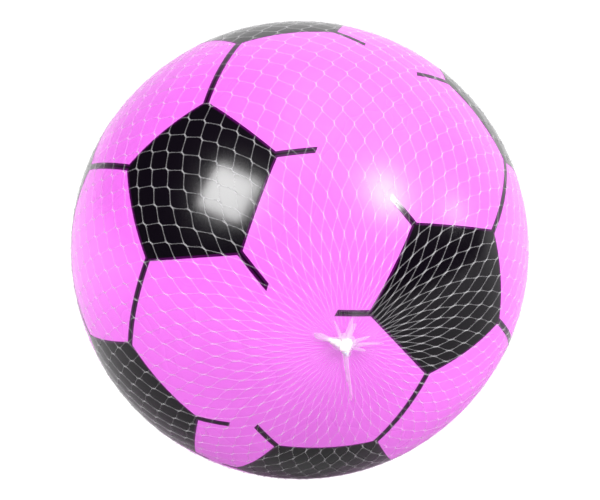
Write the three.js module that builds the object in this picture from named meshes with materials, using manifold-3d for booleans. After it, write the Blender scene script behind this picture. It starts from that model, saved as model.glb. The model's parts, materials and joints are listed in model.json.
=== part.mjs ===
// A 22 cm inflated play ball with a football print, in a white mesh net sleeve.
// The sleeve is gathered at both ends, and each gather is closed with a bead of melted plastic.
// Units are millimetres and degrees, and +Z is up. The origin is the centre of the ball.
// The sleeve's axis is Y: the gather that shows in front is at -Y, the other one at +Y.
import * as THREE from "three";
import { mergeVertices } from "three/addons/utils/BufferGeometryUtils.js";
import Module from "manifold-3d";

// Clearance that neighbouring pieces keep
const seatGap = 0.3;

// Ball skin: one hollow moulding, its round surface laid out as a divided icosahedron
const skinRadius = 109.5;
const skinThickness = 0.8;
const skinDivisions = 8;

// Print: two inked halves, each a polar pentagon with a ring of five more round it.
// The outer seams run on past the half's edge, where they are cut off.
const inkThickness = 0.2;
const seamWidth = 2.9;
const outerSeamLength = 18;
const pentagonRadius = 21.2;
const halfReach = 91;
const halvesGap = 6;

// Each half's pole and the turn of its ring, and the ring's pentagons: their distance from the pole
// and, where the print is uneven, their shift round it, size, own turn, and stretch along a direction.
// The bends are those of each ring pentagon's two outer seams, anticlockwise seen from outside.
const leftHalf = {
  azimuth: 157.3,
  elevation: 15.3,
  turn: -58.1,
  ring: [
    { distance: 65, shift: 0.4, radius: 21.7, spin: -0.5 },
    { distance: 65.6, shift: 1.6 },
    { distance: 60 },
    { distance: 60 },
    { distance: 65.6, shift: -0.4, spin: -0.7 },
  ],
  bends: [[0.5, -5.9], [11.6, -6.3], [0, 0], [0, 0], [6.3, -14]],
};
const rightHalf = {
  azimuth: -5,
  elevation: -30,
  turn: 65.5,
  ring: [
    { distance: 65.4, shift: 0.2, radius: 21.4, spin: 1.3, stretch: 0.058, stretchTurn: 23.7 },
    { distance: 66.2, shift: -1.5, spin: -1.2 },
    { distance: 60 },
    { distance: 60 },
    { distance: 64.4, shift: -1.6, spin: 0.9 },
  ],
  bends: [[5.8, -7.4], [6.4, -6.3], [0, 0], [0, 0], [6.3, 1.3]],
};

// Valve: a soft insert with a flange inside the skin, and the pin that plugs its bore
const flangeRadius = 9;
const flangeDepth = 2.8;
const neckRadius = 4.5;
const stemRadius = 3.6;
const stemLength = 14;
const pinHeadRadius = 3.2;
const pinHeadThickness = 1;
const pinRadius = 1.4;
const pinLength = 12;
const pinTipLength = 2;
const valveSides = 20;

// Net sleeve: rows of short bonds, each joined to the next row by two slanting strands
const bondsAround = 20;
const rowSteps = 14;
const firstRow = 10;
const bondLength = 5.2;
const bondWidth = 2.6;
const bondTipLength = 0.9;
const netThickness = 1.1;
const restFlatDepth = 0.5;

// The row and the gap of the net that lie over the valve, counted from the front and from below
const valveRow = 10;
const valveGap = 7;

// Gather at each end of the sleeve: a closed collar with a stud, and the bead on the stud
const collarRadius = 8;
const collarTailWidth = 1.6;
const studRadius = 2;
const studHeight = 3.2;
const beadRadius = 4.3;
const beadHeight = 4;
const beadBevel = 1.2;
const studSides = 10;
const beadSides = 16;

const inkInner = skinRadius + seatGap;
const inkOuter = inkInner + inkThickness;
const hollowRadius = skinRadius - skinThickness;
const rad = THREE.MathUtils.degToRad;
const deg = THREE.MathUtils.radToDeg;
const up = new THREE.Vector3(0, 0, 1);
const front = new THREE.Vector3(0, -1, 0);
const rear = new THREE.Vector3(0, 1, 0);
const wasm = await Module();
wasm.setup();

// A solid from a geometry that is closed
function solid(geometry) {
  const bare = geometry.clone();
  bare.deleteAttribute("normal");
  bare.deleteAttribute("uv");
  const merged = mergeVertices(bare, 1e-4);
  return new wasm.Manifold(new wasm.Mesh({
    numProp: 3,
    vertProperties: new Float32Array(merged.attributes.position.array),
    triVerts: new Uint32Array(merged.index.array),
  }));
}

// The geometry of a solid
function surface(body) {
  const mesh = body.getMesh();
  const geometry = new THREE.BufferGeometry();
  geometry.setAttribute("position", new THREE.BufferAttribute(mesh.vertProperties, 3));
  geometry.setIndex(new THREE.BufferAttribute(mesh.triVerts, 1));
  geometry.computeVertexNormals();
  return geometry;
}

// A geometry from corner points and outward faces, each face cut into a fan of triangles
function polyhedron(points, faces) {
  const geometry = new THREE.BufferGeometry();
  const corners = points.flatMap((point) => point.toArray());
  const triangles = faces.flatMap((face) => (
    face.slice(2).flatMap((corner, index) => [face[0], face[index + 1], corner])
  ));
  geometry.setAttribute("position", new THREE.Float32BufferAttribute(corners, 3));
  geometry.setIndex(triangles);
  return geometry;
}

// Turns a geometry made along +Z to point in another direction
function aimed(geometry, direction) {
  return geometry.applyQuaternion(new THREE.Quaternion().setFromUnitVectors(up, direction));
}

// A round rod or cone along a direction, between two distances from the origin
function rod(direction, radius, from, to, sides, endRadius = radius) {
  const cylinder = new THREE.CylinderGeometry(endRadius, radius, to - from, sides);
  cylinder.rotateX(Math.PI / 2).translate(0, 0, (from + to) / 2);
  return solid(aimed(cylinder, direction));
}

// A large block that lies wholly beyond a plane square to a direction
function beyond(direction, distance) {
  const size = 4 * inkOuter;
  const block = new THREE.BoxGeometry(size, size, size).translate(0, 0, distance + size / 2);
  return solid(aimed(block, direction));
}

function round(radius) {
  return solid(new THREE.IcosahedronGeometry(radius, skinDivisions - 1));
}

// Direction by azimuth from +X and elevation above the level
function compass({ azimuth, elevation }) {
  const level = new THREE.Vector3(Math.cos(rad(azimuth)), Math.sin(rad(azimuth)), 0);
  return level.multiplyScalar(Math.cos(rad(elevation))).addScaledVector(up, Math.sin(rad(elevation)));
}

// Direction at an angle from a pole, turned about the pole from the side that faces a mark
function around(pole, mark, distance, turn) {
  const side = mark.clone().addScaledVector(pole, -mark.dot(pole)).normalize();
  side.applyAxisAngle(pole, rad(turn));
  return pole.clone().multiplyScalar(Math.cos(rad(distance))).addScaledVector(side, Math.sin(rad(distance)));
}

// Direction on the net, by angle from the front gather and angle round it from straight down
function netDirection(distance, turn) {
  return around(front, up.clone().negate(), distance, turn);
}

function rowDistance(row) {
  return firstRow + row * (180 - 2 * firstRow) / rowSteps;
}

// Each row is turned half a gap from the next, and the middle row has a bond straight below
function bondTurn(row, bond) {
  const halfGaps = Math.abs(row - Math.floor(rowSteps / 2)) % 2;
  return (bond + halfGaps / 2) * 360 / bondsAround;
}

// Ball skin with the hole for its valve
const valveAxis = netDirection(rowDistance(valveRow), bondTurn(valveRow, valveGap + 0.5));

function ballSkin() {
  const hole = rod(valveAxis, neckRadius + seatGap, hollowRadius / 2, 2 * skinRadius, valveSides);
  return round(skinRadius).subtract(round(hollowRadius)).subtract(hole);
}

// Print: the film of ink that lies under flat-sided pyramids and bars
function pentagonStencil(corners) {
  const points = corners.map((corner) => corner.clone().multiplyScalar(1.4 * inkOuter));
  const sides = corners.map((corner, index) => [5, (index + 1) % 5, index]);
  return polyhedron([...points, new THREE.Vector3()], [[0, 1, 2, 3, 4], ...sides]);
}

// A bar over the arc between two directions, which runs on a seam's width at both ends
function seamStencil(from, to) {
  const across = from.clone().cross(to).normalize();
  const runOn = seamWidth / inkOuter;
  const start = from.clone().applyAxisAngle(across, -runOn);
  const end = to.clone().applyAxisAngle(across, runOn);
  const points = [0.9, 1.15].flatMap((level) => (
    [[start, -1], [start, 1], [end, 1], [end, -1]].map(([place, side]) => (
      place.clone().multiplyScalar(level * inkOuter).addScaledVector(across, side * seamWidth / 2)
    ))
  ));
  const faces = [[0, 1, 2, 3], [7, 6, 5, 4], [4, 5, 1, 0], [5, 6, 2, 1], [6, 7, 3, 2], [7, 4, 0, 3]];
  return polyhedron(points, faces);
}

function nearestPair(first, second) {
  const pairs = first.flatMap((one) => second.map((other) => [one, other]));
  return pairs.reduce((best, pair) => (pair[0].dot(pair[1]) > best[0].dot(best[1]) ? pair : best));
}

// Corners of a pentagon, counted from the side of it that faces a mark
function pentagon(centre, mark, { radius = pentagonRadius, spin = 0, stretch = 0, stretchTurn = 0 }) {
  return [0, 1, 2, 3, 4].map((corner) => {
    const angle = rad(spin + 72 * corner - stretchTurn);
    const along = (1 + stretch) * Math.cos(angle);
    const across = (1 - stretch) * Math.sin(angle);
    const turn = deg(Math.atan2(across, along)) + stretchTurn;
    return around(centre, mark, radius * Math.hypot(along, across), turn);
  });
}

// Two pentagons of each ring lie on the rear, where the halves meet, and sit nearer their pole
function halfPrint(own, other) {
  const pole = compass(own);
  const polar = pentagon(pole, up, { spin: own.turn });
  const centres = own.ring.map(({ distance, shift = 0 }, i) => (
    around(pole, up, distance, own.turn + shift + 72 * i)
  ));
  const ring = own.ring.map((shape, i) => pentagon(centres[i], pole, shape));
  const seams = polar.flatMap((corner, i) => [
    [corner, ring[i][0]],
    nearestPair(ring[i], ring[(i + 1) % 5]),
    ...[2, 3].map((k) => [
      ring[i][k],
      around(ring[i][k], centres[i], outerSeamLength, 180 + own.bends[i][k - 2]),
    ]),
  ]);
  const stencils = [
    ...[polar, ...ring].map(pentagonStencil),
    ...seams.map(([from, to]) => seamStencil(from, to)),
  ];
  const otherSide = compass(other).sub(pole).normalize();
  return stencils.map(solid).reduce((all, one) => all.add(one))
    .intersect(round(inkOuter).subtract(round(inkInner)))
    .subtract(beyond(pole.clone().negate(), inkOuter * Math.sin(rad(halfReach - 90))))
    .subtract(beyond(otherSide, -halvesGap / 2));
}

// Valve insert: its flange follows the inside of the skin, and its bore runs right through
const pinSeat = skinRadius - pinHeadThickness;

function valveBody() {
  const stemEnd = hollowRadius - stemLength;
  const bore = rod(valveAxis, pinRadius + seatGap, stemEnd - 1, skinRadius, valveSides);
  const recess = rod(valveAxis, pinHeadRadius + seatGap, pinSeat - seatGap, 2 * skinRadius, valveSides);
  return rod(valveAxis, flangeRadius, hollowRadius - flangeDepth, skinRadius, valveSides)
    .intersect(round(hollowRadius - seatGap))
    .add(rod(valveAxis, neckRadius, hollowRadius - flangeDepth, skinRadius, valveSides))
    .add(rod(valveAxis, stemRadius, stemEnd, hollowRadius - flangeDepth / 2, valveSides))
    .subtract(bore)
    .subtract(recess);
}

function valvePlug() {
  const tipEnd = skinRadius - pinLength;
  const tipStart = tipEnd + pinTipLength;
  return rod(valveAxis, pinHeadRadius, pinSeat, skinRadius, valveSides)
    .add(rod(valveAxis, pinRadius, tipStart, pinSeat + pinHeadThickness / 2, valveSides))
    .add(rod(valveAxis, pinRadius / 2, tipEnd, tipStart, valveSides, pinRadius));
}

// Net sleeve: the strands are straight, so their middles come closest to the print
const gapAngle = 360 / bondsAround;
const strandSpan = netDirection(rowDistance(0), 0).angleTo(netDirection(rowDistance(1), 0));
const strandAngle = Math.acos(Math.cos(strandSpan) * Math.cos(rad(gapAngle / 2)));
const netInner = (inkOuter + seatGap) / Math.cos(strandAngle / 2);
const netOuter = netInner + netThickness;

// Direction at a length forward or back and a length sideways from a place on the net
function netCorner(distance, turn, along, sideways) {
  const level = netInner * Math.sin(rad(distance));
  return netDirection(distance + deg(along / netInner), turn + deg(sideways / level));
}

// A sheet of outward faces over directions, thickened, with walls round all its edges
function thickened(directions, faces, inner, outer) {
  const count = directions.length;
  const edges = new Set();
  for (const face of faces) {
    face.forEach((corner, index) => edges.add(`${corner} ${face[(index + 1) % face.length]}`));
  }
  const free = [...edges].map((edge) => edge.split(" ").map(Number))
    .filter(([from, to]) => !edges.has(`${to} ${from}`));
  const points = [outer, inner].flatMap((radius) => (
    directions.map((direction) => direction.clone().multiplyScalar(radius))
  ));
  return polyhedron(points, [
    ...faces,
    ...faces.map((face) => face.map((corner) => corner + count).reverse()),
    ...free.map(([from, to]) => [to, from, from + count, to + count]),
  ]);
}

function netSleeve() {
  const directions = [];
  const faces = [];
  const add = (direction) => directions.push(direction) - 1;
  const tip = bondLength / 2;
  const shoulder = tip - bondTipLength;
  const side = bondWidth / 2;
  const outline = [
    [-tip, 0],
    [-shoulder, -side],
    [shoulder, -side],
    [tip, 0],
    [shoulder, side],
    [-shoulder, side],
  ];
  const rows = [];
  for (let row = 0; row <= rowSteps; row += 1) {
    rows.push([]);
    for (let bond = 0; bond < bondsAround; bond += 1) {
      const distance = rowDistance(row);
      const turn = bondTurn(row, bond);
      rows[row].push(outline.map(([along, sideways]) => add(netCorner(distance, turn, along, sideways))));
    }
  }
  faces.push(...rows.flat());

  // Two strands run from each bond to the next row, to the bonds half a gap either side
  for (let row = 0; row < rowSteps; row += 1) {
    const shift = bondTurn(row + 1, 0) > bondTurn(row, 0) ? 0 : 1;
    rows[row].forEach((from, bond) => {
      const high = rows[row + 1][(bond + shift) % bondsAround];
      const low = rows[row + 1][(bond + shift + bondsAround - 1) % bondsAround];
      faces.push([from[3], high[1], high[0], from[4]]);
      faces.push([from[2], low[0], low[5], from[3]]);
    });
  }

  // A tail runs from each bond of the end rows to the collar, a disc round the sleeve's axis
  const collarDistance = deg(collarRadius / netInner);
  for (const [row, distance, centre] of [[0, collarDistance, 0], [rowSteps, 180 - collarDistance, 180]]) {
    const middle = add(netDirection(centre, 0));
    const rim = rows[row].flatMap((from, bond) => (
      [-1, 1].map((edge) => add(netCorner(distance, bondTurn(row, bond), 0, edge * collarTailWidth / 2)))
    ));
    rim.forEach((corner, index) => {
      const next = rim[(index + 1) % rim.length];
      faces.push(row ? [middle, next, corner] : [middle, corner, next]);
    });
    rows[row].forEach((from, bond) => {
      const [low, high] = [rim[2 * bond], rim[2 * bond + 1]];
      faces.push(row ? [high, from[4], from[3], from[2], low] : [low, from[1], from[0], from[5], high]);
    });
  }
  const sleeve = [front, rear].reduce(
    (all, end) => all.add(rod(end, studRadius, (netInner + netOuter) / 2, netOuter + studHeight, studSides)),
    solid(thickened(directions, faces, netInner, netOuter)),
  );
  const lowest = -sleeve.boundingBox().min[2];
  return sleeve.subtract(beyond(up.clone().negate(), lowest - restFlatDepth));
}

// Bead of melted plastic on the stud of a gather
function gatherBead(end) {
  const base = netOuter + seatGap;
  const bore = studRadius + seatGap;
  const profile = [
    [bore, base],
    [beadRadius - beadBevel, base],
    [beadRadius, base + beadBevel],
    [beadRadius, base + beadHeight - beadBevel],
    [beadRadius - beadBevel, base + beadHeight],
    [bore, base + beadHeight],
    [bore, base],
  ].map(([radius, height]) => new THREE.Vector2(radius, height));
  return aimed(new THREE.LatheGeometry(profile, beadSides).rotateX(Math.PI / 2), end);
}

// Scene graph: the ball with its valve, and the net with its two beads
const pinkVinyl = new THREE.MeshStandardMaterial({ color: 0xf57cf2, roughness: 0.3, metalness: 0 });
const blackInk = new THREE.MeshStandardMaterial({ color: 0x17121c, roughness: 0.25, metalness: 0 });
const whiteRubber = new THREE.MeshStandardMaterial({ color: 0xe9dcea, roughness: 0.5, metalness: 0 });
const whitePlastic = new THREE.MeshStandardMaterial({ color: 0xf2f2f2, roughness: 0.4, metalness: 0 });
const netPlastic = new THREE.MeshStandardMaterial({ color: 0xf4f3f6, roughness: 0.35, metalness: 0 });

function piece(name, geometry, material) {
  const mesh = new THREE.Mesh(geometry, material.clone());
  mesh.name = name;
  return mesh;
}

const ball = new THREE.Group().add(
  piece("ball_skin", surface(ballSkin()), pinkVinyl),
  piece("left_half_print", surface(halfPrint(leftHalf, rightHalf)), blackInk),
  piece("right_half_print", surface(halfPrint(rightHalf, leftHalf)), blackInk),
  piece("valve_body", surface(valveBody()), whiteRubber),
  piece("valve_plug", surface(valvePlug()), whitePlastic),
);
const net = new THREE.Group().add(
  piece("net_sleeve", surface(netSleeve()), netPlastic),
  piece("front_gather_bead", gatherBead(front), netPlastic),
  piece("rear_gather_bead", gatherBead(rear), netPlastic),
);
export default new THREE.Group().add(ball, net);
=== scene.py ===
"""A printed play ball in its gathered net sleeve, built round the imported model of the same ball."""

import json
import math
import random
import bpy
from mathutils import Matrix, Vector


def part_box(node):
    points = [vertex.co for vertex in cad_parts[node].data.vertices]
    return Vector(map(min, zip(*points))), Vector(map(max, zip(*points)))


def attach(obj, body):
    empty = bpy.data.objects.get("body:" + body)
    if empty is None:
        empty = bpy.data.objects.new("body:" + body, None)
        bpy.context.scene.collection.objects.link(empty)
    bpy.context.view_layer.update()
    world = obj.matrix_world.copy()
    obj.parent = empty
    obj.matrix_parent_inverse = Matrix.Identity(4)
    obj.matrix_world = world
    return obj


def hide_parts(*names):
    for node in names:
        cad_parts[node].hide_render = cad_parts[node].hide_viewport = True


bl_info = {
    "name": "Play Ball in a Net",
    "version": (1, 0, 0),
    "blender": (4, 5, 0),
    "location": "View3D > Sidebar > Play Ball",
    "description": "Builds a printed play ball, its valve and its gathered net sleeve",
    "category": "Add Mesh",
}

import bmesh
import bpy
from mathutils import Matrix, Quaternion, Vector, kdtree, noise

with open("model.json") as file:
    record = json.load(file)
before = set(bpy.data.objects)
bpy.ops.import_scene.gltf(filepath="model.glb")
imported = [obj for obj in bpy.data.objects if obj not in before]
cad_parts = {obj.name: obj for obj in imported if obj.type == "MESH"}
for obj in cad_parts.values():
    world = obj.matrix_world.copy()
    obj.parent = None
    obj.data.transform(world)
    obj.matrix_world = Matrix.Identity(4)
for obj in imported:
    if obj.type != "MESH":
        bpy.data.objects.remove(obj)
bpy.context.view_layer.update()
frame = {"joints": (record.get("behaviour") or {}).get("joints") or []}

MM = 0.001
WELD = 0.01 * MM
SHARP_EDGE = math.radians(50)
UP = Vector((0, 0, 1))
FRONT = Vector((0, -1, 0))
CAD_SKIN_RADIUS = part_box("ball_skin")[1].x
CAD_INK_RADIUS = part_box("left_half_print")[1].z
CAD_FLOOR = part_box("net_sleeve")[0].z
VALVE_AXIS = Vector(next(j for j in frame["joints"] if j["name"] == "plug_pull")["axis"]).normalized()


def length(name, description, default):
    return bpy.props.FloatProperty(name=name, description=description, default=default, unit="LENGTH")


def angle(name, description, degrees):
    return bpy.props.FloatProperty(
        name=name, description=description, default=math.radians(degrees), subtype="ANGLE"
    )


def factor(name, description, default):
    return bpy.props.FloatProperty(name=name, description=description, default=default, subtype="FACTOR")


def strength(name, description, default):
    return bpy.props.FloatProperty(name=name, description=description, default=default, min=0)


def pole(name, degrees):
    return bpy.props.FloatVectorProperty(
        name=name, description="Azimuth and elevation of the half's pole, and the turn of its print",
        default=[math.radians(value) for value in degrees], subtype="EULER", size=3,
    )


def colour(name, description, default):
    return bpy.props.FloatVectorProperty(
        name=name, description=description, default=default, subtype="COLOR", size=3, min=0, max=1
    )


class PLAYBALL_PG_skin(bpy.types.PropertyGroup):
    """Sizes and colours of the ball's skin"""

    radius: length("Radius", "Outside of the skin, just under the ink", CAD_INK_RADIUS - 0.1 * MM)
    wall: length("Wall", "Thickness of the vinyl", 0.8 * MM)
    ring_radius: length("Valve ring", "Radius of the raised ring moulded round the valve", 9.6 * MM)
    ring_height: length("Valve ring height", "How far the ring stands up", 0.3 * MM)
    pink: colour("Pink", "Main colour of the vinyl", (0.76, 0.145, 0.75))
    deep_pink: colour("Deep pink", "Colour where the vinyl is thicker", (0.71, 0.12, 0.7))


class PLAYBALL_PG_print(bpy.types.PropertyGroup):
    """Sizes and colours of the football print"""

    pentagon: angle("Pentagon", "Radius of a pentagon to its corners", 21.2)
    open_seam: angle("Open seam", "Length of the seams that end free", 18)
    reach: angle("Reach", "Distance from its pole where a half's print is cut off", 91)
    halves_gap: length("Halves gap", "Least gap that is kept between the halves", 6 * MM)
    seam: length("Seam width", "Width of the printed seam lines", 2.9 * MM)
    film: length("Ink film", "Height of the ink's face above the skin", 0.1 * MM)
    rim: length("Rim", "Width of the thinner ink along the edges", 1.4 * MM)
    ink: colour("Ink", "Colour of the ink", (0.0022, 0.0008, 0.0034))
    rim_ink: colour("Rim ink", "Colour where the ink is thin", (0.06, 0.0005, 0.066))
    left: pole("Left half", (157.3, 15.3, -58.1))
    right: pole("Right half", (-5, -30, 65.5))


class PLAYBALL_PG_valve(bpy.types.PropertyGroup):
    """Sizes and colours of the valve"""

    neck: length("Neck radius", "Radius of the insert where it passes the skin", 4.5 * MM)
    stem: length("Stem length", "Length of the insert inside the ball", 14 * MM)
    pin: length("Pin length", "Length of the plug from its head to its tip", 12 * MM)
    body_pink: colour("Insert", "Colour of the soft insert", (0.9, 0.3, 0.82))
    plug_white: colour("Plug", "Colour of the plug", (0.85, 0.85, 0.86))


class PLAYBALL_PG_net(bpy.types.PropertyGroup):
    """Sizes and colour of the mesh net"""

    around: bpy.props.IntProperty(
        name="Bonds round", description="Bonds in one row round the sleeve", default=60
    )
    bond: length("Bond", "Length over which two strands are joined", 2.2 * MM)
    strand: length("Strand", "Length of a strand between two bonds", 7.432 * MM)
    thickness: length("Thickness", "Diameter of a strand", 0.44 * MM)
    white: colour("White", "Colour of the net", (0.92, 0.9, 0.93))
    opacity: factor("Opacity", "How far one wall of a strand hides what is behind", 0.08)
    bond_opacity: factor("Bond opacity", "How far one wall of a bond hides what is behind", 0.12)


class PLAYBALL_PG_gather(bpy.types.PropertyGroup):
    """Sizes and colour of the gathers that close the net"""

    start: angle("Start", "Distance from the sleeve's axis where the net lifts off the ball", 10.5)
    knot: length("Knot radius", "Radius of the lump of melted net", 2.9 * MM)
    milk: colour("Milky white", "Colour of the melted plastic", (0.95, 0.93, 0.96))
    wisp_opacity: factor("Wisp opacity", "How far one wall of a melted wisp hides what is behind", 0.13)


class PLAYBALL_PG_stage(bpy.types.PropertyGroup):
    """Viewpoint and light"""

    azimuth: angle("Azimuth", "Direction from which the camera looks, from -Y towards +X", -10.17)
    elevation: angle("Elevation", "Height of the camera above the level", 22.35)
    distance: length("Distance", "From the camera to the middle of the ball", 1.174)
    lens: bpy.props.FloatProperty(name="Lens", description="Focal length", default=146, unit="CAMERA")
    floor: colour("Floor", "Colour of the floor", (0.2, 0.2, 0.2))
    floor_glow: strength("Floor glow", "How far the floor is lit up", 1.1)
    front_light: strength("Front light", "Light from the dim room", 0.04)
    back_light: strength("Back light", "Light from the backdrop", 0.9)


GROUPS = {
    "skin": PLAYBALL_PG_skin,
    "print": PLAYBALL_PG_print,
    "valve": PLAYBALL_PG_valve,
    "net": PLAYBALL_PG_net,
    "gather": PLAYBALL_PG_gather,
    "stage": PLAYBALL_PG_stage,
}


def settings(name):
    return getattr(bpy.context.scene, "playball_" + name)


# Directions from the middle of the ball


def compass(azimuth, elevation):
    level = Vector((math.cos(azimuth), math.sin(azimuth), 0))
    return level * math.cos(elevation) + UP * math.sin(elevation)


def around(pole, mark, distance, turn=0):
    """Direction at an angle from a pole, turned about the pole from the side that faces a mark"""
    side = (mark - pole * mark.dot(pole)).normalized()
    side.rotate(Quaternion(pole, turn))
    return pole * math.cos(distance) + side * math.sin(distance)


def net_direction(distance, turn):
    """Direction on the net, by angle from the front gather and angle round it from straight down"""
    return around(FRONT, -UP, distance, turn)


def eased(value):
    """A share from 0 to 1 that starts and ends softly"""
    share = max(0, min(1, value))
    return share * share * (3 - 2 * share)


def bump_at(turn, centre, spread):
    """How far a turn is off a centre, and a bump that falls off with that; centre and spread in degrees"""
    off = (turn - math.radians(centre) + math.pi) % math.tau - math.pi
    return off, math.exp(-(off / math.radians(spread)) ** 2)


# Shared steps of the pieces


def finished(bm, name, material, body, slot, *nodes):
    """Makes a mesh piece that rides on a body and stands for CAD nodes"""
    mesh = bpy.data.meshes.new(name)
    bm.to_mesh(mesh)
    bm.free()
    placed(mesh, name, material, body, slot, *nodes)


def placed(mesh, name, material, body, slot, *nodes):
    """Adds a mesh to the scene as a piece, smoothed and with its material"""
    piece = bpy.data.objects.new(name, mesh)
    bpy.context.scene.collection.objects.link(piece)
    mesh.materials.clear()
    mesh.materials.append(material)
    mesh.shade_smooth()
    mesh.set_sharp_from_angle(angle=SHARP_EDGE)
    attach(piece, body)
    if nodes:
        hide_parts(*nodes)


def spun(profile, steps, direction):
    """A bmesh turned from points of radius and height, with its axis along a direction"""
    bm = bmesh.new()
    verts = [bm.verts.new((radius, 0, height)) for radius, height in profile]
    edges = [bm.edges.new(pair) for pair in zip(verts, verts[1:])]
    bmesh.ops.spin(
        bm, geom=verts + edges, cent=(0, 0, 0), axis=UP, dvec=(0, 0, 0),
        angle=math.tau, steps=steps, use_merge=True,
    )
    bmesh.ops.remove_doubles(bm, verts=bm.verts, dist=WELD)
    bmesh.ops.recalc_face_normals(bm, faces=bm.faces)
    turn = UP.rotation_difference(direction).to_matrix()
    bmesh.ops.rotate(bm, verts=bm.verts, cent=(0, 0, 0), matrix=turn)
    return bm


# Materials


# The colour sockets of a Mix node
MIX_FIRST, MIX_SECOND, MIX_RESULT = 6, 7, 2


def add_node(tree, kind, **values):
    """A node with its settings, and with its inputs filled from values or linked from other sockets"""
    node = tree.nodes.new("ShaderNode" + kind)
    for key, value in values.items():
        if key[0].islower():
            setattr(node, key, value)
            continue
        socket = node.inputs[key.replace("_", " ")]
        if isinstance(value, bpy.types.NodeSocket):
            tree.links.new(value, socket)
        else:
            socket.default_value = value
    return node


def math_result(tree, operation, first, second):
    """What a Math node makes of two sockets"""
    node = add_node(tree, "Math", operation=operation)
    tree.links.new(first, node.inputs[0])
    tree.links.new(second, node.inputs[1])
    return node.outputs["Value"]


def new_group(name, inputs, output, kind):
    """A node group with number inputs and one output, and the sockets inside it"""
    tree = bpy.data.node_groups.new(name, "ShaderNodeTree")
    for label, default in inputs.items():
        socket = tree.interface.new_socket(name=label, in_out="INPUT", socket_type="NodeSocketFloat")
        socket.default_value = default
    tree.interface.new_socket(name=output, in_out="OUTPUT", socket_type=kind)
    return tree, tree.nodes.new("NodeGroupInput").outputs, tree.nodes.new("NodeGroupOutput").inputs


def mottle_group():
    """Soft patches, as a mask from 0 to 1"""
    tree, given, out = new_group("soft_mottle", {"Scale": 20}, "Value", "NodeSocketFloat")
    place = add_node(tree, "TexCoord").outputs["Object"]
    patches = add_node(tree, "TexNoise", Vector=place, Scale=given["Scale"], Detail=3)
    spread = add_node(tree, "MapRange", Value=patches.outputs["Fac"], From_Min=0.3, From_Max=0.7)
    tree.links.new(spread.outputs["Result"], out["Value"])


def grain_group():
    """Fine unevenness of a moulded or printed surface, as a normal"""
    tree, given, out = new_group(
        "moulded_grain", {"Scale": 400, "Strength": 0.1, "Wave Scale": 30, "Wave Strength": 0.1},
        "Normal", "NodeSocketVector",
    )
    place = add_node(tree, "TexCoord").outputs["Object"]
    waves = add_node(tree, "TexNoise", Vector=place, Scale=given["Wave Scale"], Detail=2)
    broad = add_node(
        tree, "Bump", Strength=given["Wave Strength"], Distance=1 * MM, Height=waves.outputs["Fac"]
    )
    grain = add_node(tree, "TexNoise", Vector=place, Scale=given["Scale"], Detail=2)
    fine = add_node(
        tree, "Bump", Strength=given["Strength"], Distance=0.05 * MM,
        Height=grain.outputs["Fac"], Normal=broad.outputs["Normal"],
    )
    tree.links.new(fine.outputs["Normal"], out["Normal"])


def new_material(name, **values):
    """A material and its tree and shader, with constants set on the shader's own sockets"""
    material = bpy.data.materials.new(name)
    material.use_nodes = True
    tree = material.node_tree
    shader = tree.nodes["Principled BSDF"]
    for key, value in values.items():
        shader.inputs[key.replace("_", " ")].default_value = value
    return material, tree, shader


def add_group(tree, name, **values):
    return add_node(tree, "Group", node_tree=bpy.data.node_groups[name], **values)


def surface_detail(tree, shader, patches, rough, grain):
    """Gives a shader patchy roughness and a fine grain, and returns the patches for its colour"""
    mask = add_group(tree, "soft_mottle", Scale=patches).outputs["Value"]
    uneven = add_node(tree, "MapRange", Value=mask, To_Min=rough[0], To_Max=rough[1])
    tree.links.new(uneven.outputs["Result"], shader.inputs["Roughness"])
    bumps = add_group(tree, "moulded_grain", **grain)
    tree.links.new(bumps.outputs["Normal"], shader.inputs["Normal"])
    return mask


def mixed(tree, shader, mask, first, second):
    """Feeds a shader's colour from two colours, mixed by a mask"""
    mix = add_node(tree, "Mix", data_type="RGBA", Factor=mask)
    mix.inputs[MIX_FIRST].default_value = (*first, 1)
    mix.inputs[MIX_SECOND].default_value = (*second, 1)
    tree.links.new(mix.outputs[MIX_RESULT], shader.inputs["Base Color"])


def skin_material(s):
    material, tree, shader = new_material(
        "pink_vinyl", Subsurface_Weight=0.12, Subsurface_Radius=(1, 0.4, 0.9), Subsurface_Scale=4 * MM,
        IOR=1.5,
    )
    grain = {"Scale": 700, "Strength": 0.05, "Wave_Scale": 18, "Wave_Strength": 0.12}
    mask = surface_detail(tree, shader, 14, (0.24, 0.32), grain)
    mixed(tree, shader, mask, s.pink, s.deep_pink)
    return material


def ink_material(s):
    material, tree, shader = new_material("black_ink", IOR=1.5, Specular_IOR_Level=0.48)
    grain = {"Scale": 900, "Strength": 0.08, "Wave_Scale": 25, "Wave_Strength": 0.15}
    mask = surface_detail(tree, shader, 40, (0.15, 0.19), grain)
    rim = add_node(tree, "Attribute", attribute_name="rim").outputs["Fac"]
    thin = add_node(tree, "MapRange", Value=rim, From_Min=0.05, From_Max=0.5).outputs["Result"]
    patchy = add_node(tree, "MapRange", Value=mask, To_Min=0.75, To_Max=1.0).outputs["Result"]
    mixed(tree, shader, math_result(tree, "MULTIPLY", thin, patchy), s.ink, s.rim_ink)
    return material


def plastic_material(name, tint, shade, patches, rough, **values):
    """A soft plastic whose colour goes down to a share of its tint in patches"""
    material, tree, shader = new_material(name, **values)
    grain = {"Scale": 1500, "Strength": 0.15, "Wave_Scale": 200, "Wave_Strength": 0.1}
    mask = surface_detail(tree, shader, patches, rough, grain)
    mixed(tree, shader, mask, tint, [shade * part for part in tint])
    return material


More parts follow.
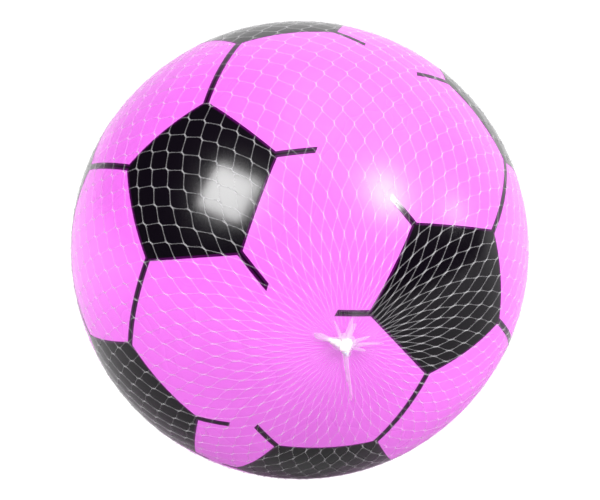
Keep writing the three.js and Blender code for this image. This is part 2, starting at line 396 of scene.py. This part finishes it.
def net_material(s):
    """The net's plastic, which hides more where a strand is thickened in a bond"""
    material = plastic_material("net_plastic", s.white, 0.93, 120, (0.3, 0.45), Alpha=s.opacity, IOR=1.5)
    tree = material.node_tree
    thickness = add_node(tree, "Attribute", attribute_name="share").outputs["Fac"]
    opacity = add_node(
        tree, "MapRange", Value=thickness, From_Min=0.98, From_Max=1.25,
        To_Min=s.opacity, To_Max=s.bond_opacity,
    )
    tree.links.new(opacity.outputs["Result"], tree.nodes["Principled BSDF"].inputs["Alpha"])
    return material


# Ball skin


def skin_profile(s, hole):
    """Outline of the hollow skin: inside from the far pole to the hole, and outside back to the pole"""
    fine, coarse = math.radians(0.15), math.radians(1.0)
    ring_half, ring_margin = 1.3 * MM, 2 * MM
    lip = 0.5 * MM
    start = hole / s.radius
    angles = [start + lip / s.radius]
    while angles[-1] < math.pi - coarse:
        near_ring = angles[-1] * s.radius < s.ring_radius + ring_margin
        angles.append(angles[-1] + (fine if near_ring else coarse))

    def outside(a):
        off = abs(a * s.radius - s.ring_radius) / ring_half
        lift = s.ring_height * (0.5 + 0.5 * math.cos(math.pi * off)) if off < 1 else 0
        return (s.radius + lift) * math.sin(a), (s.radius + lift) * math.cos(a)

    inner, steps = s.radius - s.wall, 90
    inside = [math.pi - i * (math.pi - start) / steps for i in range(steps + 1)]
    profile = [(inner * math.sin(a), inner * math.cos(a)) for a in inside]
    profile[0] = (0, -inner)
    profile += [(hole, s.radius - lip), (hole + 0.12 * MM, s.radius - 0.2 * MM)]
    profile += [outside(a) for a in angles]
    return profile + [(0, -s.radius)]


class PLAYBALL_OT_skin(bpy.types.Operator):
    """Build the hollow vinyl skin with the hole and the raised ring for its valve"""

    bl_idname = "playball.skin"
    bl_label = "Ball skin"

    def execute(self, context):
        s = settings("skin")
        hole = settings("valve").neck + 0.1 * MM
        bm = spun(skin_profile(s, hole), steps=200, direction=VALVE_AXIS)
        finished(bm, "vinyl_skin", skin_material(s), "ball", "skin", "ball_skin")
        return {"FINISHED"}


# Print


def clipped(start, end, limits):
    """The last direction from start to end that lies inside every limit, a normal and a height"""

    def inside(point):
        return all(point.dot(normal) <= height for normal, height in limits)

    share, step = 0.0, 1.0
    halvings = 24
    for _ in range(halvings):
        if inside(start.lerp(end, min(1, share + step)).normalized()) and share + step <= 1:
            share += step
        step /= 2
    return start.lerp(end, share).normalized()


def nearest_corners(first, second):
    """Numbers of the two corners where one pentagon is nearest to another"""
    pairs = [(i, j) for i in range(5) for j in range(5)]
    return max(pairs, key=lambda pair: first[pair[0]].dot(second[pair[1]]))


# Ring pentagons of each half: distance from the pole in degrees, and where the print is uneven, their
# shift round it, radius and own turn in degrees, and their stretch, as a share, along a direction
RINGS = {
    "left": [
        {"distance": 65, "shift": 0.4, "radius": 21.7, "spin": -0.5},
        {"distance": 65.6, "shift": 1.6},
        {"distance": 60},
        {"distance": 60},
        {"distance": 65.6, "shift": -0.4, "spin": -0.7},
    ],
    "right": [
        {
            "distance": 65.4, "shift": 0.2, "radius": 21.4, "spin": 1.3,
            "stretch": 0.058, "stretch_turn": 23.7,
        },
        {"distance": 66.2, "shift": -1.5, "spin": -1.2},
        {"distance": 60},
        {"distance": 60},
        {"distance": 64.4, "shift": -1.6, "spin": 0.9},
    ],
}
# How far the two open seams of each ring pentagon bend, in degrees, anticlockwise seen from outside
BENDS = {
    "left": [(0.5, -5.9), (11.6, -6.3), (0, 0), (0, 0), (6.3, -14)],
    "right": [(5.8, -7.4), (6.4, -6.3), (0, 0), (0, 0), (6.3, 1.3)],
}


def pentagon(centre, mark, radius, spin=0, stretch=0, stretch_turn=0):
    """Corners round a centre, the first towards a mark but for the spin"""
    corners = []
    for corner in range(5):
        turn = spin + corner * math.tau / 5 - stretch_turn
        along, across = (1 + stretch) * math.cos(turn), (1 - stretch) * math.sin(turn)
        turn = math.atan2(across, along) + stretch_turn
        corners.append(around(centre, mark, radius * math.hypot(along, across), turn))
    return corners


def ring_pentagon(s, pole, turn, distance, shift=0, radius=None, stretch=0, **turns):
    """Centre and corners of a ring pentagon, from its values in degrees"""
    centre = around(pole, UP, math.radians(distance), turn + math.radians(shift))
    radius = math.radians(radius) if radius else s.pentagon
    turns = {name: math.radians(value) for name, value in turns.items()}
    return centre, pentagon(centre, pole, radius, stretch=stretch, **turns)


def print_faces(s, side, own, other, radius):
    """Faces of one printed half, as lists of directions: its cut pentagons, seams and open seams"""
    pole, turn = compass(own[0], own[1]), own[2]
    away = (compass(other[0], other[1]) - pole).normalized()
    limits = [(-pole, math.sin(s.reach - math.pi / 2)), (away, -s.halves_gap / 2 / radius)]
    pentagons = [(pole, pentagon(pole, UP, s.pentagon, turn))]
    for i, values in enumerate(RINGS[side]):
        pentagons.append(ring_pentagon(s, pole, turn + i * math.tau / 5, **values))
    centres, corners = zip(*pentagons)
    half_width = s.seam / 2 / radius
    half_corner = math.radians(54)
    cut = half_width / math.sin(half_corner)
    ends = [
        [(around(p[i], p[i - 1], cut), around(p[i], p[(i + 1) % 5], cut)) for i in range(5)]
        for p in corners
    ]
    faces = [[point for pair in p for point in pair] for p in ends]
    for i in range(5):
        outer, following = 1 + i, 1 + (i + 1) % 5
        a, b = nearest_corners(corners[outer], corners[following])
        for (p, c), (q, d) in [((0, i), (outer, 0)), ((outer, a), (following, b))]:
            faces.append([ends[p][c][1], ends[p][c][0], ends[q][d][1], ends[q][d][0]])
        for c, bend in zip((2, 3), BENDS[side][i]):
            before, after = ends[outer][c]
            corner = corners[outer][c]
            tip = around(corner, centres[outer], s.open_seam, math.pi + math.radians(bend))
            across = corner.cross(tip).normalized() * half_width
            left = clipped(after, (tip + across).normalized(), limits)
            right = clipped(before, (tip - across).normalized(), limits)
            faces.append([after, before, right, left])
    return faces


def film_mesh(faces, radius, film, rim, longest_edge):
    """A thin film of ink over directions on the ball, with a rim attribute that fades from its edges"""
    rounds = 5
    top, underside = radius + film, radius + 0.2 * film
    bm = bmesh.new()
    layer = bm.verts.layers.float.new("rim")
    for face in faces:
        bm.faces.new([bm.verts.new(point * radius) for point in face])
    bmesh.ops.remove_doubles(bm, verts=bm.verts, dist=WELD)
    bmesh.ops.inset_region(bm, faces=bm.faces, thickness=rim, use_boundary=True, use_even_offset=True)
    for vert in bm.verts:
        vert[layer] = vert.is_boundary
    for _ in range(rounds):
        bmesh.ops.triangulate(bm, faces=bm.faces)
        long_edges = [edge for edge in bm.edges if edge.calc_length() > longest_edge]
        bmesh.ops.subdivide_edges(bm, edges=long_edges, cuts=1)
        for vert in bm.verts:
            vert.co = vert.co.normalized() * top
    bmesh.ops.triangulate(bm, faces=bm.faces)
    under = bmesh.ops.extrude_face_region(bm, geom=bm.faces, use_keep_orig=True)["geom"]
    for vert in under:
        if isinstance(vert, bmesh.types.BMVert):
            vert.co = vert.co.normalized() * underside
    bmesh.ops.recalc_face_normals(bm, faces=bm.faces)
    return bm


class PLAYBALL_OT_print(bpy.types.Operator):
    """Build the two halves of the football print as thin films of ink"""

    bl_idname = "playball.print"
    bl_label = "Football print"

    def execute(self, context):
        s, radius = settings("print"), settings("skin").radius
        longest_edge = 4.5 * MM
        material = ink_material(s)
        for side, own, other in (("left", s.left, s.right), ("right", s.right, s.left)):
            faces = print_faces(s, side, own, other, radius)
            bm = film_mesh(faces, radius, s.film, s.rim, longest_edge)
            finished(bm, f"{side}_half_ink", material, "ball", "ink", f"{side}_half_print")
        return {"FINISHED"}


# Valve


def insert_outline(neck, top, end, under):
    """Points of the insert, up its bore, over its lip and down round its flange, in mm"""
    bore, seat = 1.7, top - 1.3
    return [
        (bore, end), (bore, seat), (neck - 1.05, seat), (neck - 1, top - 0.15), (neck - 0.88, top),
        (neck - 0.6, top + 0.02), (neck - 0.3, top), (neck - 0.08, top - 0.08), (neck, top - 0.3),
        (neck, under - 0.12), (neck + 3.8, under - 0.35), (neck + 4.3, under - 0.55),
        (neck + 4.5, under - 0.9), (neck + 4.3, under - 1.3), (neck + 3.7, under - 1.5),
        (neck - 0.1, under - 2.0), (neck - 0.7, under - 2.3), (neck - 0.9, under - 3.0),
        (neck - 1.2, end + 0.6), (neck - 1.5, end + 0.15), (neck - 1.8, end), (bore, end),
    ]


def plug_outline(head, tip):
    """Points of the plug, from its tip up its pin and over its head, in mm"""
    pin = 1.35
    return [
        (0, tip), (0.5, tip + 0.08), (0.85, tip + 0.5), (pin, tip + 2.2), (pin, head - 1.05),
        (3.0, head - 1.05), (3.2, head - 0.9), (3.22, head - 0.3), (3.1, head - 0.08), (2.8, head),
        (2.2, head + 0.02), (2.0, head - 0.12), (1.0, head - 0.14), (0.8, head + 0.03),
        (0.35, head + 0.1), (0, head + 0.12),
    ]


class PLAYBALL_OT_valve(bpy.types.Operator):
    """Build the soft valve insert and the plug in its bore"""

    bl_idname = "playball.valve"
    bl_label = "Valve"

    def execute(self, context):
        v, s = settings("valve"), settings("skin")
        top = s.radius / MM
        under = (s.radius - s.wall) / MM - 0.05
        end = (CAD_SKIN_RADIUS - v.stem) / MM - 0.8
        outline = insert_outline(v.neck / MM, top, end, under)
        bm = spun([(x * MM, z * MM) for x, z in outline], steps=64, direction=VALVE_AXIS)
        material = plastic_material(
            "soft_insert", v.body_pink, 0.9, 300, (0.4, 0.5),
            Subsurface_Weight=0.2, Subsurface_Scale=2 * MM,
        )
        finished(bm, "valve_insert", material, "ball", "valve", "valve_body")
        outline = plug_outline(top - 0.1, (CAD_SKIN_RADIUS - v.pin) / MM)
        bm = spun([(x * MM, z * MM) for x, z in outline], steps=48, direction=VALVE_AXIS)
        material = plastic_material(
            "white_plug", v.plug_white, 0.94, 250, (0.3, 0.42),
            Subsurface_Weight=0.1, Subsurface_Scale=1 * MM,
        )
        finished(bm, "valve_pin", material, "plug", "plug", "valve_plug")
        return {"FINISHED"}


# Net sleeve


# Play between the print and the strands that lie on it
PLAY = 0.04 * MM

# How two strands lie in a bond: beside each other, one over the other, and lifted at the bond's ends
BESIDE = 0.12 * MM
OVER = 0.12 * MM
LIFT_AT_ENDS = 0.03 * MM

# Share of the full thickness of a free strand, and what the ends and the middle of a bond add to it
FREE_SHARE = 0.92
ENDS_ADD = 0.38
MIDDLE_ADD = 0.6

# Unevenness of the net: how far places wander, and how fine the pattern is
WANDER = [(0.4 * MM, 3.1), (0.28 * MM, 19)]
WANDER_SEED = 1


def print_radius():
    return settings("skin").radius + settings("print").film


def net_radius(s):
    """Distance of the strands' centre lines from the middle of the ball"""
    return print_radius() + s.thickness / 2 + PLAY


def row_distances(s):
    """Angles of the rows of bonds from the front gather, both ways from the row over the valve"""
    radius = net_radius(s)
    last = math.radians(3.9)

    def step(distance):
        half_gap = math.pi / s.around * math.sin(distance) * radius
        return (s.bond + math.sqrt(s.strand ** 2 - half_gap ** 2)) / radius

    rows = {0: FRONT.angle(VALVE_AXIS)}
    for sign in (-1, 1):
        row, distance = 0, rows[0]
        while True:
            distance += sign * step(distance + sign * step(distance) / 2)
            if not last < distance < math.pi - last:
                break
            row += sign
            rows[row] = distance
    return rows


# Places in the gather where pleats crowd together: turn and spread in degrees, and how strongly
CROWDED = {
    "front": [
        (8, 14.4, 0.5), (66, 16, 0.7), (86, 12.8, 0.75), (104, 16, 0.7), (160, 19.2, 0.75),
        (203, 17.6, 0.75), (246, 22.4, 0.7), (290, 12.8, 0.4),
    ],
    "rear": [
        (20, 19.2, 0.6), (75, 14.4, 0.6), (118, 19.2, 0.7), (170, 16, 0.6), (222, 20.8, 0.7),
        (262, 12.8, 0.5), (318, 17.6, 0.7),
    ],
}


def crowded(turn, end):
    """Turn of a strand after it is drawn towards the crowded places"""
    moved = 0
    for centre, spread, share in CROWDED[end]:
        off, bump = bump_at(turn, centre, spread)
        moved -= share * off * bump
    return turn + moved


# Where the front of the sleeve is drawn off its even form: turn, spread, pull to the gather and swing
# against the turn, in degrees. That fades out towards an end on the far side, and towards the axis.
DRAWN = [(88, 32, 1.9, 0), (185, 50, 0, 2.4)]
DRAWN_END = math.radians(105)
DRAWN_FADE = math.radians(45)
DRAWN_START = math.radians(30)


def drawn(distance, turn):
    """Place on the real net of a place on the even one"""
    share = eased((DRAWN_END - distance) / DRAWN_FADE) * min(1, distance / DRAWN_START)
    for centre, spread, pull, swing in DRAWN:
        _, bump = bump_at(turn, centre, spread)
        distance -= share * bump * math.radians(pull)
        turn -= share * bump * math.radians(swing)
    return distance, turn


def gathered(s, gather, distance, turn, rise):
    """Moves a place on the net as the gather pulls it: its turn, and its lift off the ball"""
    crowded_reach = 1.25
    end = "front" if distance < math.pi / 2 else "rear"
    near = distance if end == "front" else math.pi - distance
    turn += eased(crowded_reach - near / gather.start) * (crowded(turn, end) - turn)
    if near > gather.start:
        return turn, 0
    radius = net_radius(s)
    return turn, rise * (radius / math.cos(gather.start - near) - radius)


def strand_line(s, gather, hand, number, rows):
    """Centre line of one strand from gather to gather, as points with a share of the full thickness"""
    gap = math.tau / s.around
    radius = net_radius(s)
    valve_turn = math.atan2(VALVE_AXIS.x, -VALVE_AXIS.z)
    order = sorted(rows)
    draws = random.Random(1000 + 100 * hand + number)
    rise = draws.uniform(0.45, 1.05)
    half_bond = s.bond / 2 / radius
    line = []

    def add(distance, turn, lift=0, share=FREE_SHARE):
        distance, turn = drawn(distance, turn)
        turn, off_ball = gathered(s, gather, distance, turn, rise)
        direction = net_direction(distance, turn)
        drift = sum((size * noise.noise_vector(direction * fine) for size, fine in WANDER), Vector())
        direction = (direction * radius + drift).normalized()
        slim = min(1, 0.3 + 0.52 * min(distance, math.pi - distance) / gather.start)
        line.append((direction * (radius + lift + off_ball), slim * share))

    def turn_at(row):
        return valve_turn + gap * (number + 0.5 + hand * row / 2)

    def beside(row):
        return hand * BESIDE / (radius * math.sin(rows[row]))

    def add_bond(row):
        distance, turn, across = rows[row], turn_at(row), beside(row)
        joined = min(1, max(0, distance / math.radians(14) - 0.7))
        add(distance - half_bond, turn - across, LIFT_AT_ENDS, FREE_SHARE + ENDS_ADD * joined)
        add(distance, turn, OVER if hand > 0 else 0, FREE_SHARE + MIDDLE_ADD * joined)
        add(distance + half_bond, turn + across, LIFT_AT_ENDS, FREE_SHARE + ENDS_ADD * joined)

    end_places, end_share = [math.radians(degrees) for degrees in (0.55, 1.4, 2.6)], 0.9
    for place in end_places:
        add(place, turn_at(order[0] - 1), share=end_share)
    for row in order[:-1]:
        add_bond(row)
        begin, begin_turn = rows[row] + half_bond, turn_at(row) + beside(row)
        end, end_turn = rows[row + 1] - half_bond, turn_at(row + 1) - beside(row + 1)
        for along in (0.3, 0.7):
            add(begin + along * (end - begin), begin_turn + along * (end_turn - begin_turn))
    add_bond(order[-1])
    for place in reversed(end_places):
        add(math.pi - place, turn_at(order[-1] + 1), share=end_share)
    return line


def rods(name, lines, thickness, corners=1):
    """A mesh of round rods along lines of points, with a share attribute: that of the full thickness"""
    curve = bpy.data.curves.new(name, "CURVE")
    curve.dimensions = "3D"
    curve.bevel_depth = thickness / 2
    curve.bevel_resolution = corners
    curve.use_fill_caps = True
    for line in lines:
        spline = curve.splines.new("POLY")
        spline.points.add(len(line) - 1)
        for point, (place, share) in zip(spline.points, line):
            point.co = (*place, 1)
            point.radius = share
    holder = bpy.data.objects.new(name, curve)
    mesh = bpy.data.meshes.new_from_object(holder)
    bpy.data.objects.remove(holder)
    bpy.data.curves.remove(curve)
    bm = bmesh.new()
    bm.from_mesh(mesh)
    bmesh.ops.remove_doubles(bm, verts=bm.verts, dist=WELD / 10)
    points = [point for line in lines for point in line]
    tree = kdtree.KDTree(len(points))
    for index, (place, _) in enumerate(points):
        tree.insert(place, index)
    tree.balance()
    layer = bm.verts.layers.float.new("share")
    for vert in bm.verts:
        vert[layer] = points[tree.find(vert.co)[1]][1]
    bm.to_mesh(mesh)
    bm.free()
    mesh.name = name
    return mesh


class PLAYBALL_OT_net(bpy.types.Operator):
    """Build the net sleeve from two families of strands that cross in its bonds"""

    bl_idname = "playball.net"
    bl_label = "Net sleeve"

    def execute(self, context):
        s, gather = settings("net"), settings("gather")
        noise.seed_set(WANDER_SEED)
        rows = row_distances(s)
        material = net_material(s)
        for hand, side in ((1, "right"), (-1, "left")):
            lines = [strand_line(s, gather, hand, number, rows) for number in range(s.around)]
            name = f"{side}_hand_strands"
            placed(rods(name, lines, s.thickness), name, material, "net", "net", "net_sleeve")
        return {"FINISHED"}


# Gathers


# Lobes of the knot: turn and reach in degrees, and radius as a share of the knot's
LOBES = {
    "front": [(248, 3.9, 0.82), (15, 2.6, 0.8)],
    "rear": [(118, 3.9, 0.82), (222, 2.6, 0.8)],
}
LOBE_SEEDS = {"front": 7, "rear": 8}

# Wisps that the melted net drew out: turn, reach, and radius at the knot, halfway and at the end,
# in degrees and mm
WISPS = {
    "front": [
        (248, 7.6, 1.9, 1.1, 1.2), (251, 7.2, 1.8, 0.9, 1.1), (244, 6.6, 1.7, 0.7, 0.8),
        (249, 5.2, 1.9, 1.1, 0.5), (8, 16.2, 1.3, 1.0, 0.6), (6, 10.5, 1.4, 1.1, 0.6),
        (250, 3.6, 3.1, 2.7, 1.4), (15, 3.2, 2.9, 2.3, 1.2), (120, 2.8, 2.8, 2.3, 1.2),
        (190, 2.9, 2.8, 2.2, 1.1), (202, 6.3, 1.4, 0.7, 0.5), (163, 6.6, 1.9, 1.4, 0.5),
        (152, 5.6, 1.6, 1.1, 0.7), (102, 6.1, 1.6, 0.9, 0.5), (84, 9.6, 1.3, 0.8, 0.4),
        (66, 5.5, 1.4, 0.9, 0.5),
    ],
    "rear": [
        (118, 8.4, 1.5, 0.8, 1.1), (222, 12.5, 1.1, 0.55, 0.3), (318, 6.0, 1.2, 0.7, 0.4),
        (20, 6.6, 1.1, 0.6, 0.35), (172, 5.6, 1.2, 0.8, 0.5), (268, 5.2, 1.0, 0.5, 0.3),
    ],
}
WISP_SEED = 11

# Roughness of the cooled knot: height of the bumps, and how fine they are
BUMPS = [(0.35 * MM, 520), (0.16 * MM, 1500)]


def end_direction(end, near, turn):
    """Direction at an angle from the front or the rear gather"""
    return net_direction(near if end == "front" else math.pi - near, turn)


def lump_places(gather, end):
    """Balls of melted plastic: angle from the axis and turn in degrees, radius and height in mm"""
    draws = random.Random(LOBE_SEEDS[end])
    knot = gather.knot / MM
    places = [(0, 0, knot, 1.7), (0.8, 110, 0.75 * knot, 1.1)]
    balls = 8
    for turn, reach, size in LOBES[end]:
        for i in range(balls):
            share = (i + 1) / balls
            radius = size * knot * (1 - 0.6 * share + draws.uniform(-0.05, 0.05))
            places.append((reach * share, turn, radius, 1.5 - 0.6 * share))
    return places


def wisp_line(s, gather, end, values, draws):
    """Centre line of a wisp on the gathered net, as points with a share of the knot's radius"""
    turn, reach, *sizes = values
    start, steps, above = 1, 12, 0.2 * MM
    phase = draws.uniform(0, math.tau)
    line = []
    for i in range(steps + 1):
        share = i / steps
        near = math.radians(start + (reach - start) * share)
        half, along = (0, 2 * share) if share < 0.5 else (1, 2 * share - 1)
        size = sizes[half] + (sizes[half + 1] - sizes[half]) * along
        bend = math.radians(turn + 2.5 * math.sin(phase + 5 * share) * (1 - share))
        _, off_ball = gathered(s, gather, near, bend, 0.9)
        place = end_direction(end, near, bend) * (net_radius(s) + off_ball + above)
        round_end = 0.35 if i == steps else 1
        line.append((place, round_end * size * MM / gather.knot))
    return line


def lump_mesh(gather, end):
    """The lumps run together into one body, and roughened as cooled plastic is"""
    voxel, rounds = 0.28 * MM, 3
    bm = bmesh.new()
    for near, turn, size, height in lump_places(gather, end):
        direction = end_direction(end, math.radians(near), math.radians(turn))
        place = Matrix.Translation(direction * (net_radius(settings("net")) + height * MM))
        bmesh.ops.create_icosphere(bm, subdivisions=2, radius=size * MM, matrix=place)
    mesh = bpy.data.meshes.new("lumps")
    bm.to_mesh(mesh)
    bm.free()
    holder = bpy.data.objects.new("lumps", mesh)
    bpy.context.scene.collection.objects.link(holder)
    melt = holder.modifiers.new("melt", "REMESH")
    melt.mode = "VOXEL"
    melt.voxel_size = voxel
    depsgraph = bpy.context.evaluated_depsgraph_get()
    bm = bmesh.new()
    bm.from_mesh(holder.evaluated_get(depsgraph).to_mesh())
    bpy.data.objects.remove(holder)
    bpy.data.meshes.remove(mesh)
    for _ in range(rounds):
        bmesh.ops.smooth_vert(
            bm, verts=bm.verts, factor=0.5, use_axis_x=True, use_axis_y=True, use_axis_z=True
        )
    bm.normal_update()
    for vert in bm.verts:
        vert.co += vert.normal * sum(size * noise.noise(vert.co * fine) for size, fine in BUMPS)
    return bm


def rest_on_print(mesh):
    """Flattens what would lie inside the ball onto its print"""
    lowest = print_radius() + 0.03 * MM
    for vert in mesh.vertices:
        vert.co *= max(1, lowest / vert.co.length)


class PLAYBALL_OT_gathers(bpy.types.Operator):
    """Build the melted knots that close the net at both ends"""

    bl_idname = "playball.gathers"
    bl_label = "Gathers"

    def execute(self, context):
        gather = settings("gather")
        knot = plastic_material(
            "melted_net", gather.milk, 0.95, 200, (0.3, 0.42), Subsurface_Weight=0.35,
            Subsurface_Scale=3 * MM, IOR=1.5,
        )
        film = plastic_material(
            "melted_film", gather.milk, 0.96, 200, (0.35, 0.45), Alpha=gather.wisp_opacity,
            IOR=1.5, Subsurface_Weight=0.8, Subsurface_Radius=(1, 1, 1), Subsurface_Scale=4 * MM,
        )
        for end in ("front", "rear"):
            bm = lump_mesh(gather, end)
            finished(bm, f"{end}_gather_knot", knot, "net", "net_bead", f"{end}_gather_bead")
            draws = random.Random(WISP_SEED)
            lines = [wisp_line(settings("net"), gather, end, values, draws) for values in WISPS[end]]
            name = f"{end}_gather_wisps"
            wisps = rods(name, lines, 2 * gather.knot, 3)
            rest_on_print(wisps)
            placed(wisps, name, film, "net", "net_bead")
        return {"FINISHED"}


# Stage


# Soft boxes that shine on the ball: direction along the view's right, up and towards the camera, size in
# metres, power in watts, and whether the gloss mirrors them
LIGHTS = {
    "upper_left_box": ((-0.54, 0.434, 0.722), (0.62, 0.55), 21.5, True),
    "upper_right_box": ((0.636, 0.419, 0.649), (0.32, 0.44), 15, True),
    "right_box": ((0.96, 0.24, 0.14), (0.12, 0.15), 2.2, True),
    "overhead_panel": ((0.35, 0.85, 0.4), (1.6, 1.6), 8, True),
    "right_fill": ((0.93, 0.3, 0.2), (0.8, 0.8), 11, False),
}
LIGHT_DISTANCE = 1.5
BACKDROP_SIDE = (0.35, 0.94, 0)
FLOOR_SIZE = 12
THIN_LAYERS_SEEN = 32


def view_axes(s):
    """Right, up and towards the camera, as directions"""
    toward = Vector((
        math.sin(s.azimuth) * math.cos(s.elevation),
        -math.cos(s.azimuth) * math.cos(s.elevation),
        math.sin(s.elevation),
    ))
    right = UP.cross(toward).normalized()
    return right, toward.cross(right), toward


def add_light(name, axes, aim, size, power, mirrored):
    """A soft box that shines on the middle of the ball from a direction given along the view's axes"""
    light = bpy.data.lights.new(name, "AREA")
    light.shape = "RECTANGLE"
    light.size, light.size_y = size
    light.energy = power
    holder = bpy.data.objects.new(name, light)
    direction = sum((axis * part for axis, part in zip(axes, aim)), Vector()).normalized()
    holder.location = direction * LIGHT_DISTANCE
    holder.rotation_euler = direction.to_track_quat("Z", "Y").to_euler()
    holder.visible_glossy = mirrored
    bpy.context.scene.collection.objects.link(holder)


def studio_world(scene, s):
    """Surroundings that are dim at the front and left, white behind and right, and white to the camera"""
    scene.world = scene.world or bpy.data.worlds.new("studio")
    scene.world.use_nodes = True
    tree = scene.world.node_tree
    background = tree.nodes["Background"]
    background.inputs["Color"].default_value = (1, 1, 1, 1)
    direction = add_node(tree, "TexCoord").outputs["Generated"]
    aside = add_node(tree, "VectorMath", operation="DOT_PRODUCT")
    tree.links.new(direction, aside.inputs[0])
    aside.inputs[1].default_value = BACKDROP_SIDE
    ramp = add_node(
        tree, "MapRange", interpolation_type="SMOOTHSTEP", Value=aside.outputs["Value"],
        From_Min=0.3, From_Max=0.9, To_Min=s.front_light, To_Max=s.back_light,
    )
    seen = add_node(tree, "LightPath").outputs["Is Camera Ray"]
    bright = math_result(tree, "MAXIMUM", ramp.outputs["Result"], seen)
    tree.links.new(bright, background.inputs["Strength"])


def floor_material(s):
    """Pale paint, lit up where it is seen or shines on the ball, and mirrored only behind the ball"""
    material, tree, shader = new_material("floor_paint", Base_Color=(*s.floor, 1), Roughness=0.9)
    shader.inputs["Emission Color"].default_value = (1, 1, 1, 1)
    path = add_node(tree, "LightPath").outputs
    lit = math_result(tree, "MAXIMUM", path["Is Camera Ray"], path["Is Diffuse Ray"])
    glow = add_node(tree, "MapRange", Value=lit, To_Max=s.floor_glow)
    place = add_node(tree, "SeparateXYZ", Vector=add_node(tree, "TexCoord").outputs["Object"])
    sweep = add_node(
        tree, "MapRange", interpolation_type="SMOOTHSTEP", Value=place.outputs["Y"],
        From_Min=-0.1, From_Max=0.25, To_Max=s.back_light,
    )
    bright = math_result(tree, "MAXIMUM", glow.outputs["Result"], sweep.outputs["Result"])
    tree.links.new(bright, shader.inputs["Emission Strength"])
    return material


def add_floor(s):
    bm = bmesh.new()
    place = Matrix.Translation((0, 0, CAD_FLOOR - 0.1 * MM))
    bmesh.ops.create_grid(bm, x_segments=1, y_segments=1, size=FLOOR_SIZE, matrix=place)
    mesh = bpy.data.meshes.new("floor")
    bm.to_mesh(mesh)
    bm.free()
    floor = bpy.data.objects.new("floor", mesh)
    bpy.context.scene.collection.objects.link(floor)
    mesh.materials.append(floor_material(s))


class PLAYBALL_OT_stage(bpy.types.Operator):
    """Set up the floor, the light and the camera"""

    bl_idname = "playball.stage"
    bl_label = "Stage"

    def execute(self, context):
        s, scene = settings("stage"), context.scene
        axes = view_axes(s)
        camera = bpy.data.objects.new("camera", bpy.data.cameras.new("camera"))
        camera.data.lens = s.lens
        camera.data.sensor_width = 36
        camera.location = axes[2] * s.distance
        camera.rotation_euler = axes[2].to_track_quat("Z", "Y").to_euler()
        scene.collection.objects.link(camera)
        scene.camera = camera
        add_floor(s)
        studio_world(scene, s)
        for name, values in LIGHTS.items():
            add_light(name, axes, *values)
        scene.view_settings.view_transform = "Standard"
        scene.cycles.transparent_max_bounces = THIN_LAYERS_SEEN
        return {"FINISHED"}


# Sidebar


class PLAYBALL_PT_panel(bpy.types.Panel):
    """Sizes, colours and building steps of the ball"""

    bl_idname = "PLAYBALL_PT_panel"
    bl_label = "Play Ball"
    bl_space_type = "VIEW_3D"
    bl_region_type = "UI"
    bl_category = "Play Ball"

    def draw(self, context):
        for name, kind in GROUPS.items():
            box = self.layout.box()
            box.label(text=name.capitalize())
            for prop in kind.__annotations__:
                box.prop(settings(name), prop)
        for operator in OPERATORS:
            self.layout.operator(operator.bl_idname)


OPERATORS = (
    PLAYBALL_OT_skin,
    PLAYBALL_OT_print,
    PLAYBALL_OT_valve,
    PLAYBALL_OT_net,
    PLAYBALL_OT_gathers,
    PLAYBALL_OT_stage,
)
CLASSES = (*GROUPS.values(), *OPERATORS, PLAYBALL_PT_panel)


def register():
    for cls in CLASSES:
        bpy.utils.register_class(cls)
    for name, kind in GROUPS.items():
        setattr(bpy.types.Scene, "playball_" + name, bpy.props.PointerProperty(type=kind))


def unregister():
    for name in GROUPS:
        delattr(bpy.types.Scene, "playball_" + name)
    for cls in reversed(CLASSES):
        bpy.utils.unregister_class(cls)


def main():
    register()
    mottle_group()
    grain_group()
    for operator in OPERATORS:
        getattr(bpy.ops.playball, operator.bl_idname.split(".")[1])()


if __name__ == "__main__":
    main()
